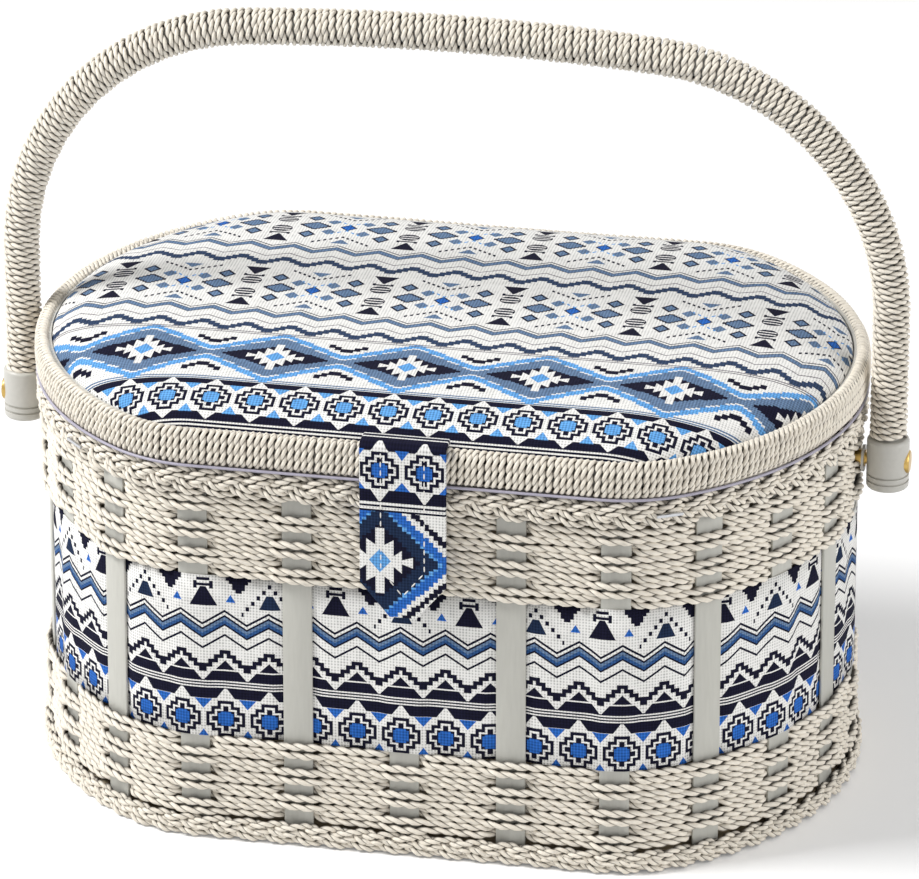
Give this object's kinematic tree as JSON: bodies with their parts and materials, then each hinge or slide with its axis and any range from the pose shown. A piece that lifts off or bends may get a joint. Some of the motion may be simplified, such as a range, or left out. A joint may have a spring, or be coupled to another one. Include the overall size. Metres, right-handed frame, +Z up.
{
  "type": "sewing box",
  "caption": "Oval woven sewing box with a printed canvas band, a padded hinged lid, a wound carrying handle, a closing tab and a lift-out tray.",
  "frame": {"origin": "on the surface the basket stands on, under the middle of its oval plan", "axes": "+X along the long side to the right seen from the front, +Y from the closing tab towards the hinges, +Z up"},
  "size_m": [0.315, 0.2041, 0.2646],
  "materials": {
    "paper_cord": "twisted paper cord, matt",
    "rib_plastic": "flat extruded strip, satin",
    "printed_canvas": "plain-weave canvas with a blue and navy zigzag print",
    "satin": "satin",
    "pincushion_cloth": "navy cotton",
    "board": "grey board",
    "wadding": "polyester wadding",
    "core_plastic": "plain",
    "cap_plastic": "satin moulded",
    "brass": "polished",
    "steel": "plain",
    "tray_plastic": "satin moulded"
  },
  "bodies": {
    "basket": {"base_board": "board", "wall_board": "board", "catch_plate": "steel", "lining": "satin", "top_hoop": "core_plastic", "canvas_band": "printed_canvas", "under_ribs": "rib_plastic", "over_ribs": "rib_plastic", "lower_row_1": "paper_cord", "lower_row_2": "paper_cord", "lower_row_3": "paper_cord", "lower_row_4": "paper_cord", "lower_row_5": "paper_cord", "lower_row_6": "paper_cord", "upper_row_1": "paper_cord", "upper_row_2": "paper_cord", "upper_row_3": "paper_cord", "upper_row_4": "paper_cord", "upper_row_5": "paper_cord", "upper_row_6": "paper_cord", "bottom_braid": "paper_cord", "top_braid": "paper_cord", "braid_staples": "steel", "tray_ledge": "board", "hinge_screws_body": "brass", "hinge_body_leaf_left": "brass", "hinge_body_leaf_right": "brass", "hinge_pin_left": "brass", "hinge_pin_right": "brass", "pivot_screw_left": "brass", "pivot_screw_right": "brass", "pivot_sleeve_left": "brass", "pivot_sleeve_right": "brass", "pivot_washer_left": "cap_plastic", "pivot_washer_right": "cap_plastic", "pivot_nut_left": "brass", "pivot_nut_right": "brass"},
    "lid": {"lid_rim_core": "core_plastic", "lid_rim_wrap": "paper_cord", "lid_lining": "satin", "lid_board": "board", "lid_padding": "wadding", "lid_cover": "printed_canvas", "pincushion": "pincushion_cloth", "lid_pocket": "satin", "tab_anchor": "printed_canvas", "hinge_screws_lid": "brass", "hinge_lid_leaf_left": "brass", "hinge_lid_leaf_right": "brass"},
    "handle": {"handle_core": "core_plastic", "handle_wrap": "paper_cord", "handle_cap_left": "cap_plastic", "handle_cap_right": "cap_plastic"},
    "tab": {"tab_flap": "printed_canvas", "tab_magnet": "steel"},
    "tray": {"tray": "tray_plastic", "tray_grip_wall": "tray_plastic"}
  },
  "joints": [
    {"name": "lid_hinge", "type": "hinge", "parent": "basket", "child": "lid", "pos_m": [0, 0.1011, 0.1368], "axis": [-1, 0, 0], "range_deg": [0, 100]},
    {"name": "handle_swing", "type": "hinge", "parent": "basket", "child": "handle", "pos_m": [0, 0, 0.116], "axis": [-1, 0, 0], "range_deg": [0, 122]},
    {"name": "tab_lift", "type": "hinge", "parent": "lid", "child": "tab", "pos_m": [0, -0.0998, 0.1518], "axis": [-1, 0, 0], "range_deg": [0, 120]},
    {"name": "tray_lift", "type": "slide", "parent": "basket", "child": "tray", "axis": [0, 0, 1], "range_m": [0, 0.02]}
  ],
  "couplings": [
    {"joint": "handle_swing", "follows": "lid_hinge", "ratio": 1.22}
  ]
}
